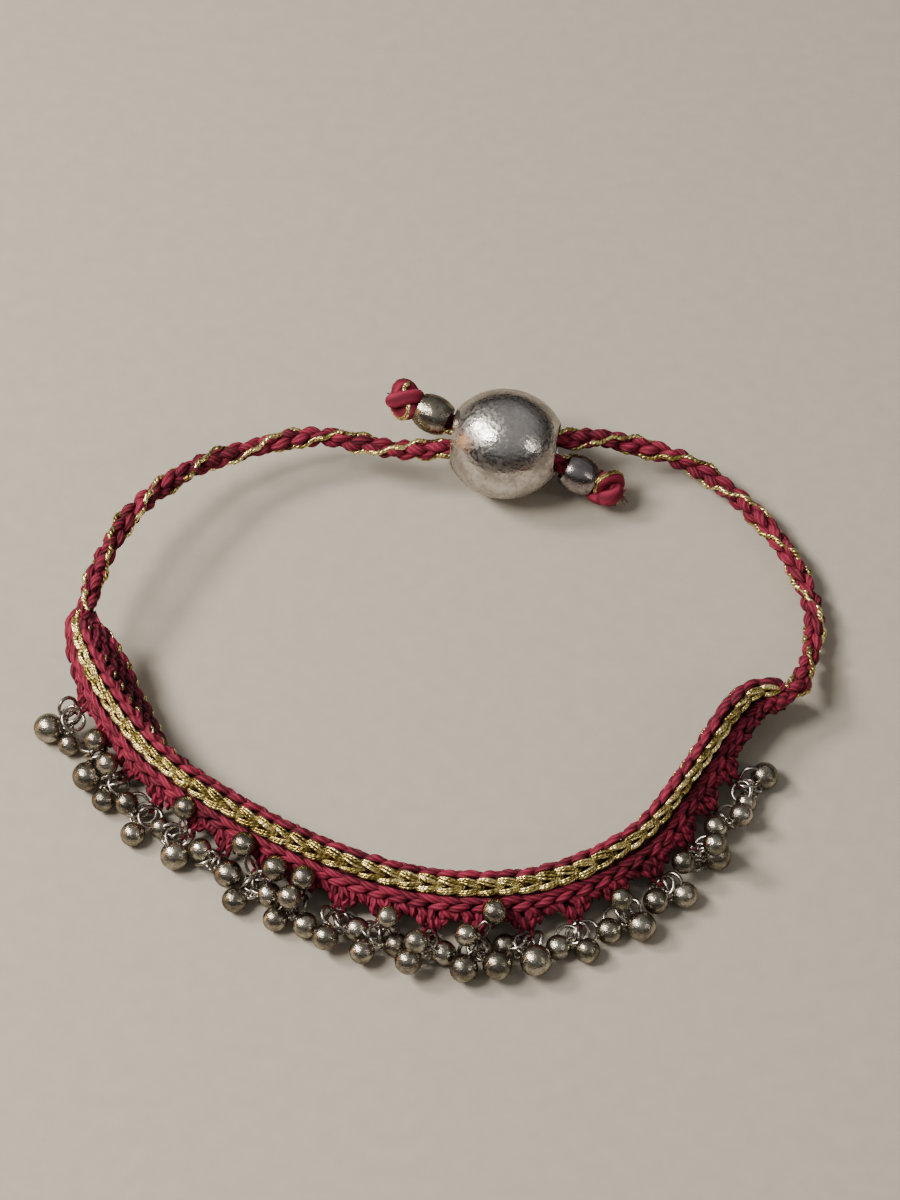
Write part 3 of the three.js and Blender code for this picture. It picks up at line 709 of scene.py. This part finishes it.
# The surface as a table: s runs along the line and t across it, t = 0 on the line and growing outward. The
# slope at each t is averaged over the rounding, and the section is the running sum of its cosine and sine.
table = dict(rows=441, reach=7.0, step=0.1)
sTable = np.linspace(0, bandLong, table["rows"])
tTable = np.arange(-table["reach"], table["reach"] + table["step"] / 2, table["step"])
lower, gold, crest, inner, share = (bandColumn(name, sTable)[:, None] for name in sectionColumns[3:])
edge = bandRow["gold"] + bandRow["lower"]
tAt = tTable[None, :]
slope = np.where(tAt < -bandRow["crest"], inner, np.where(tAt < 0, crest, np.where(
    tAt < bandRow["gold"], -gold, np.where(tAt < edge, -lower, -lower * picot["dip"]))))
near = np.abs(tTable[:, None] - tTable[None, :]) <= band["rounding"] / 2
slope = np.radians(slope @ (near / near.sum(axis=0, keepdims=True)))
# the lower rows stay wide up to the right end, where the cord leaves their outer corner
rightCorner = (tAt > bandRow["gold"]) & (sTable[:, None] > bandLong - band["rightEnd"])
wide = np.where(rightCorner, np.maximum(share, band["rightShare"]), share)
outAt = np.cumsum(np.cos(slope) * wide * table["step"], axis=1)
upAt = np.cumsum(np.sin(slope) * wide * table["step"], axis=1)
zero = np.argmin(np.abs(tTable))
outAt, upAt = outAt - outAt[:, zero:zero + 1], upAt - upAt[:, zero:zero + 1]
forward = unit(readLine(bandLine, "way", sTable) * (1, 1, 0))
outward = np.cross(forward, up)
surface = (readLine(bandLine, "place", sTable)[:, None] + outward[:, None] * outAt[..., None]
           + up * upAt[..., None])
facing = outward[:, None] * -np.sin(slope)[..., None] + up * np.cos(slope)[..., None]


# reads the table between its places, and rises by a height along the surface's normal
def wrapOnBand(s, t, height):
    s, t, height = np.broadcast_arrays(s, t, height)
    lastRow, lastColumn = len(sTable) - 1, len(tTable) - 1
    i = np.clip(s / bandLong * lastRow, 0, lastRow - 0.001)
    j = np.clip((t - tTable[0]) / table["step"], 0, lastColumn - 0.001)
    i0, j0 = i.astype(int), j.astype(int)
    wi, wj = (i - i0)[..., None], (j - j0)[..., None]

    def read(grid):
        return ((grid[i0, j0] * (1 - wi) + grid[i0 + 1, j0] * wi) * (1 - wj)
                + (grid[i0, j0 + 1] * (1 - wi) + grid[i0 + 1, j0 + 1] * wi) * wj)

    beyond = s - np.clip(s, 0, bandLong)
    points = read(surface) + unit(read(facing)) * height[..., None] + forward[i0] * beyond[..., None]
    return keepAbove(points, offTable["band"])


# a leaf's own width isn't narrowed with the rows at the tips, only its row's place is
def bandLeaves(s, t, **shape):
    share = np.maximum(bandColumn("share", s), band["leastShare"])[:, None, None]
    ls, lt, lh, u, v = leaves(s, t, **shape)
    return wrapOnBand(ls, t[:, None, None] + (lt - t[:, None, None]) / share, lh), u, v


# seeded unevenness, by a bell curve of the given spread
def jitter(count, spread):
    return rng.normal(0, spread, count)


stitch = dict(pitch=1.76, first=0.6, endIn=0.4)
stitches = np.arange(stitch["first"], bandLong - stitch["endIn"], stitch["pitch"])
stitchCount = len(stitches)
bandPieces = Pieces()

# the ground of the band, under the stitches: a closed skin whose under side shows the backs of the rows. It
# takes the darkest tone of the shaded crimson: painted shade between the stitches
skin = dict(top=-0.38, first=0.2, endIn=0.1, step=0.3, columns=44, hemIn=0.3, edgeIn=0.9, thinnest=0.55,
            backs=0.10, backPitch=1.15)
skinLong = np.arange(skin["first"], bandLong - skin["endIn"], skin["step"])[:, None]
hemT = -bandRow["crest"] - bandRow["inner"]
topT = np.linspace(hemT + skin["hemIn"], edge - skin["edgeIn"], skin["columns"])
underT = topT[::-1][None, :]
acrossT = np.concatenate([topT[None, :], underT], axis=1)
thin = skin["thinnest"] + (1 - skin["thinnest"]) * bandColumn("share", skinLong)
backs = (skin["backs"] * np.sin(2 * np.pi * skinLong / stitch["pitch"])
         * np.sin(2 * np.pi * underT / skin["backPitch"]))
topHeight = np.full_like(backs, skin["top"])
skinHeight = np.concatenate([topHeight, -(band["wall"] - skin["backs"]) * thin + backs], axis=1)
bandPieces.add(wrapOnBand(skinLong, acrossT, skinHeight), skinLong, acrossT, tone=0.0, material=1)

# rows of crimson stitches: where the row lies, how high, its leaves' size, slant and arch, how far its
# stitches are shifted, and which thread it is of, 1 for the darker copy of the crimson with painted shade,
# on the inside. uneven is the spread of each, for length and width as a share.
rowColumns = ("across", "lift", "length", "width", "thick", "slant", "arch", "shift", "thread")
crimsonRows = [
    (-0.46, -0.14, 2.35, 0.76, 0.66, -0.20, 0.26, 0.2, 0),
    (-0.95, -0.22, 2.20, 0.70, 0.60, 0.25, 0.22, 1.0, 0),
    (2.05, -0.12, 2.50, 0.78, 0.62, 0.12, 0.22, 0.5, 0),
    (2.62, -0.12, 2.15, 0.78, 0.64, -0.34, 0.26, 1.3, 0),
    (3.25, -0.20, 1.90, 0.74, 0.62, 0.62, 0.22, 0.1, 0),
    (-1.75, -0.18, 1.95, 0.88, 0.66, 0.75, 0.22, 0.6, 1),
    (-2.70, -0.18, 1.95, 0.88, 0.66, -0.75, 0.22, 1.2, 1),
    (-3.65, -0.18, 1.95, 0.88, 0.66, 0.75, 0.22, 0.3, 1),
    (-4.60, -0.18, 1.95, 0.88, 0.66, -0.75, 0.22, 0.9, 1),
    (-5.45, -0.15, 2.30, 0.92, 0.76, 0.14, 0.20, 0.4, 0),
]
uneven = dict(place=0.07, lift=0.03, length=0.05, width=0.06, slant=0.06, bend=0.05)
for values in crimsonRows:
    row = dict(zip(rowColumns, values))
    place, lift, length, width, slant, bend = (jitter(stitchCount, spread) for spread in uneven.values())
    points, u, v = bandLeaves(
        stitches + row["shift"] + place, row["across"] + 0 * stitches, lift=row["lift"] + lift,
        length=row["length"] * (1 + length), width=row["width"] * (1 + width), thick=row["thick"],
        slant=row["slant"] * bandColumn("share", stitches) ** 2 + slant, bend=bend, arch=row["arch"])
    bandPieces.add(points, u, v, tone=lobeToneAndShade(stitchCount), material=row["thread"])

# a tuft at each picot: leaves that lean in to one tip, each from its top to its foot. Sideways is to the
# right of the picot, and across is across the band.
tuft = dict(longer=1.25, width=0.66, thick=0.62, arch=0.30)
tuftUneven = dict(top=0.12, foot=0.12, lift=0.05, width=0.08, bend=0.08)
tuftColumns = ("topSideways", "topAcross", "footSideways", "footAcross", "lift")
tuftLeaves = [
    (-1.75, 2.9, -1.45, 4.00, -0.40), (-0.95, 2.8, -0.60, 4.20, -0.30), (0.0, 2.8, 0.30, 4.20, -0.28),
    (0.85, 2.8, 1.15, 4.00, -0.32), (1.60, 2.9, 1.90, 3.95, -0.45),
    (-1.05, 3.6, -0.55, 4.60, -0.52), (-0.30, 3.6, 0.05, 4.80, -0.44), (0.50, 3.6, 0.50, 4.75, -0.46),
    (1.25, 3.6, 1.05, 4.50, -0.54)]
picotAt = picot["first"] + np.arange(picot["count"]) * picot["pitch"]
for values in tuftLeaves:
    leaf = dict(zip(tuftColumns, values))
    top, foot, lift, width, bend = (jitter(picot["count"], spread) for spread in tuftUneven.values())
    top += picotAt + leaf["topSideways"]
    foot += picotAt + leaf["footSideways"]
    run, fall = foot - top, leaf["footAcross"] - leaf["topAcross"]
    points, u, v = bandLeaves(
        (top + foot) / 2, (leaf["topAcross"] + leaf["footAcross"]) / 2 + 0 * top, lift=leaf["lift"] + lift,
        length=np.hypot(run, fall) * tuft["longer"], width=tuft["width"] * (1 + width), thick=tuft["thick"],
        slant=np.arctan2(fall, run), bend=bend, arch=tuft["arch"])
    bandPieces.add(points, u, v, tone=lobeToneAndShade(picot["count"]))


# where a picot's ring passes, the way the picot reaches, and the band's own directions there
def picotFrame(s):
    way = unit(readLine(bandLine, "way", s) * (1, 1, 0))
    out = np.cross(way, up)
    fall = {name: np.radians(bandColumn(name, s)) for name in ("lower", "gold")}
    share = bandColumn("share", s)
    x = sum(bandRow[name] * share * np.cos(fall[name]) for name in fall)
    z = -sum(bandRow[name] * share * np.sin(fall[name]) for name in fall)
    x -= band["wall"] / 2 * np.sin(fall["lower"])
    z -= band["wall"] / 2 * np.cos(fall["lower"])
    dip = fall["lower"] * picot["dip"]
    reach = out * np.cos(dip) - up * np.sin(dip)
    hole = readLine(bandLine, "place", s) + out * x + up * z + reach * picot["seat"]
    return dict(forward=way, outward=out, reach=reach, hole=hole, axis=np.cross(reach, way))


# the small loop of thread in each tuft that its jump ring passes through
eye = dict(back=0.22, radius=0.5, longer=1.15, thread=0.25, steps=20, cols=7, vStep=0.25)
picotFrames = [picotFrame(s) for s in picotAt]
turn = fullTurn(eye["steps"])[:, None]
for place in picotFrames:
    middle = place["hole"] - place["reach"] * eye["back"]
    circle = middle + eye["radius"] * (
        place["reach"] * np.cos(turn) * eye["longer"] + place["forward"] * np.sin(turn))
    eyeTube = tube(circle, eye["thread"], eye["cols"], closed=True, reference=place["axis"])
    bandPieces.add(eyeTube, 3 * turn, roundPlace(eye), tone=0.4, ringed=True)

# The gold chain: each stitch is two arms that start apart and lean together towards the right, of three thin
# strands each, 0.45 as far from each other at their ends. An arm's distance from the row's middle falls as
# 1 - a^1.7, and it arches over the next stitch. The chain narrows as the row steepens from steepFrom to
# steepTo degrees.
acrossThread = (0.1, 0.2, 1)   # a way that no gold thread runs
chain = dict(middle=0.74, open=0.52, apart=0.03, length=2.7, back=0.35, strands=(-0.19, 0.0, 0.19),
             strand=0.14, lift=-0.06, arch=0.46, tuck=0.30, sideDrop=0.09, unevenPlace=0.03, unevenHigh=0.02,
             steps=11, cols=6, vStep=0.14, uSpread=9)
squeeze = dict(steepFrom=48, steepTo=64, most=0.45, shift=0.5)
a = np.linspace(0, 1, chain["steps"])[None, :]
steep = (bandColumn("gold", stitches) - squeeze["steepFrom"]) / (squeeze["steepTo"] - squeeze["steepFrom"])
narrow = 1 - squeeze["most"] * np.clip(steep, 0, 1)[:, None]
for arm in (-1, 1):
    for k, offset in enumerate(chain["strands"]):
        along = chain["length"] * (a - chain["back"])
        s = stitches[:, None] + along + jitter(stitchCount, chain["unevenPlace"])[:, None]
        apart = chain["open"] * (1 - a ** 1.7) + offset * (0.45 + 0.55 * np.sin(np.pi * a))
        t = (chain["middle"] - squeeze["shift"] * (1 - narrow) + arm * (apart + chain["apart"]) * narrow
             + jitter(stitchCount, chain["unevenPlace"])[:, None])
        high = (chain["lift"] + chain["arch"] * np.sin(np.pi * a ** 0.8) - chain["tuck"] * a ** 4
                - chain["sideDrop"] * abs(k - 1) + jitter(stitchCount, chain["unevenHigh"])[:, None])
        strand = tube(wrapOnBand(s, t, high), chain["strand"], chain["cols"], reference=acrossThread)
        u = (s - stitches[:, None])[..., None] + jitter(stitchCount, chain["uSpread"])[:, None, None]
        bandPieces.add(strand, u, roundPlace(chain), material=2)

# short gold glints between the stitches of the inner hem and behind the crest: where each row of them lies,
# how many stitches have one, and how high
glint = dict(length=1.15, slant=0.45, droop=1.2, thread=0.125, behind=0.9, unevenAlong=0.2,
             unevenAcross=0.06, steps=6, cols=5, vStep=0.12)
glintRows = [(-5.75, 1.0, 0.28), (-5.2, 0.55, 0.28), (-1.35, 0.7, 0.24)]
a = np.linspace(-0.5, 0.5, glint["steps"])[None, :]
for across, part, high in glintRows:
    some = stitches[rng.random(stitchCount) < part] + glint["behind"]
    s = some[:, None] + glint["length"] * a + jitter(len(some), glint["unevenAlong"])[:, None]
    t = across + glint["slant"] * a + jitter(len(some), glint["unevenAcross"])[:, None]
    glintLine = wrapOnBand(s, t, high - glint["droop"] * a ** 2)
    glintTubes = tube(glintLine, glint["thread"], glint["cols"], reference=acrossThread)
    bandPieces.add(glintTubes, s[..., None], roundPlace(glint), material=2)
bandThreads = [crimsonThread, shadedCrimsonThread, goldThread]
bandPieces.build("crochetedBand", bandThreads, ["woven_band"], "crimson_crochet")
print("band crocheted")

# The drops: two hang from each picot's jump ring, and small extra ones lie on top of the others. A row for
# each: picot, to the right along the band, away from the picot, lift off the table, and diameter.
dropRows = np.array([
    (1, 0, 3.1, 0, 2.8), (1, 2.4, 2.1, 0.1, 2.1), (2, 0.5, 0.6, 2.7, 2.1), (2, 2.2, 2.7, 0.2, 2.7),
    (3, -1.2, 0.8, 2.1, 2.1), (3, 0.7, 2.8, 0.2, 2.2), (4, -2, 1.5, 0.8, 2.2), (4, 0.3, 3.3, 0, 2.3),
    (5, -2.4, 0.8, 0.2, 2), (5, 0.5, 2.5, 0, 2.7), (6, -1.6, 0.9, 1, 2.1), (6, 1.8, 1.5, 0.4, 2.6),
    (7, -0.5, 3.1, 0.1, 2.3), (7, 2, 1.2, 0.3, 2.3), (8, -0.6, 2.9, 0.1, 2.3), (8, 2.1, 2.3, 0, 2.4),
    (9, 0.1, 3.1, 0.7, 2.4), (9, 2.3, 1.1, 0.2, 2.3), (10, -0.9, 3.2, 0.5, 2.3), (10, 1.8, 1.5, 0, 2.3),
    (11, -1.3, 3.4, 0.9, 2.5), (11, 1.6, 1.6, 0, 2.3), (12, -1.2, 3.3, 0.4, 2.6), (12, 1.8, 3.1, 0.6, 2.7),
    (13, -2.1, 0.7, 0, 2.2), (13, 0.3, 3, 0.5, 2.9), (14, -2.4, 1.6, 0, 2.3), (14, -0.1, 2.8, 0, 2.3),
    (15, -2.2, 1.8, 0, 2.4), (15, 0.5, 2.9, 0.1, 2.7), (16, -2, 1.7, 0.7, 2.4), (16, 0.7, 2.6, 0, 2.4),
    (17, -2.6, 0.6, 1.5, 2.2), (17, 0.4, 2.3, 0, 2.7), (18, -1.6, 1, 1.1, 2.2), (18, 0.9, 2.2, 1, 2.2),
    (19, -1.3, 1.7, 0.1, 2), (19, 2, 1.8, 0, 2.6)])
topDrops = np.array([
    (5, -0.6, -0.9, 3.0, 2.2), (7, -1.8, -0.9, 3.0, 2.3), (7, 1.9, -0.2, 2.8, 2.4), (8, 0.2, 1.5, 2.5, 2.2),
    (8, 0.6, -0.5, 3.0, 2.3), (10, 0.7, 0.3, 2.6, 2.1), (11, -0.8, 2.1, 2.4, 2.2), (12, -1, 1, 2.6, 2.1),
    (12, 1.5, -1.0, 3.1, 2.3), (15, -0.4, 0.7, 2.6, 2.1), (17, 0, 2.2, 2.8, 2.2)])
ring = dict(radius=0.9, wire=0.30, farHeight=1.3)
extraRing = dict(slips=(-0.6, 0.6, 0.05), slipBy=0.15, lift=0.15, outward=1.5, level=0.93,
                 tilts=(-0.15, 0.3), leanBy=1.2, larger=(1.0, 1.28), wire=0.366)
loop = dict(radius=0.5, wire=0.29, seat=0.14, sink=0.1)
dropDents = dict(count=9, depth=0.018, width=0.45)
# the collar where a drop's wire comes out: how far in it sits, and its profile
collarIn = 0.05
collar = np.array([(0.02, 0.04), (0.36, 0.06), (0.40, -0.03), (0.33, -0.14), (0.18, -0.20), (0.02, -0.21)])


# a ring of wire: an oval with one radius along first and the other along second
def addRing(pieces, middle, first, second, firstRadius, secondRadius, wire, around=28, cols=8):
    turn = fullTurn(around)[:, None]
    oval = middle + first * np.cos(turn) * firstRadius + second * np.sin(turn) * secondRadius
    oval = keepAbove(oval, wire / 2 + offTable["wire"])
    wireTube = tube(oval, wire / 2, cols, closed=True, reference=np.cross(first, second))
    pieces.add(wireTube, tone=rng.random(), ringed=True, material=1)


# a ball's profile, from pole to pole, with a tiny flat at each
def sphereProfile(size, rows, flat=0.02):
    angle = np.linspace(flat - np.pi / 2, np.pi / 2 - flat, rows)
    return size / 2 * np.stack([np.cos(angle), np.sin(angle)], axis=-1)


# a silver drop: a ball, a short collar where its wire comes out, and an oval wire loop up to its ring
def addDrop(pieces, middle, size, hook, wireWay):
    away = unit(middle - hook)
    dropBall = dented(turned(sphereProfile(size, rows=21), middle, away, cols=30), middle, **dropDents)
    pieces.add(dropBall, tone=rng.random())
    top = middle - away * (size / 2 - collarIn)
    pieces.add(turned(collar, top, away, cols=14), tone=rng.random())
    start = hook + away * (loop["seat"] - (ring["wire"] + loop["wire"]) / 2)
    end = middle + away * (loop["sink"] - size / 2)
    axis = unit(wireWay - away * (wireWay @ away))
    addRing(pieces, (start + end) / 2, away, np.cross(axis, away), np.linalg.norm(end - start) / 2,
            loop["radius"], loop["wire"], around=24)


# more rings hang beside the first from the same tuft, each towards a place and turned its own way
def addExtraRing(pieces, place, middle, slip):
    slip += rng.uniform(-extraRing["slipBy"], extraRing["slipBy"])
    start = place["hole"] + place["forward"] * slip + up * extraRing["lift"]
    level = unit((middle - start) * (1, 1, 0) + place["outward"] * extraRing["outward"])
    toward = unit(level * extraRing["level"] + up * rng.uniform(*extraRing["tilts"]))
    lean = rng.uniform(-extraRing["leanBy"], extraRing["leanBy"])
    across = unit(place["forward"] * np.cos(lean) + np.cross(toward, place["forward"]) * np.sin(lean))
    across = unit(across - toward * (across @ toward))
    radius = ring["radius"] * rng.uniform(*extraRing["larger"])
    addRing(pieces, start + toward * radius, toward, across, radius, radius, extraRing["wire"])


# a drop's middle: its row's places to the right and away, and its own radius and lift above the table
def dropMiddle(place, drop):
    point = place["hole"] + place["forward"] * drop[1] + place["outward"] * drop[2]
    return np.array([point[0], point[1], drop[4] / 2 + drop[3]])


for number, place in enumerate(picotFrames, start=1):
    hole = place["hole"]
    rows = dropRows[dropRows[:, 0] == number]
    middles = np.array([dropMiddle(place, drop) for drop in rows])
    # the jump ring leans from its hole towards the drops, down to farHeight at its far side
    aim = (middles.mean(axis=0) - hole) * (1, 1, 0)
    rise = (ring["farHeight"] - hole[2]) / (2 * ring["radius"])
    far = unit(aim) * np.sqrt(1 - rise * rise) + up * rise
    side = unit(place["axis"] - far * (place["axis"] @ far))
    centre = hole + far * ring["radius"]
    cluster = Pieces()
    addRing(cluster, centre, far, side, ring["radius"], ring["radius"], ring["wire"])
    for middle, slip in zip((middles[0], middles[-1], middles.mean(axis=0)), extraRing["slips"]):
        addExtraRing(cluster, place, middle, slip)
    for drop in np.vstack([rows, topDrops[topDrops[:, 0] == number]]):
        middle = dropMiddle(place, drop)
        toDrop = middle - centre
        way = unit(far * (toDrop @ far) + side * (toDrop @ side))
        addDrop(cluster, middle, drop[4], centre + way * ring["radius"], np.cross(np.cross(far, side), way))
    cluster.build("dropCluster%02d" % number, [dropSilver, wireSilver], ["drops_%02d" % number],
                  "tarnished_silver")
print("drops hung")
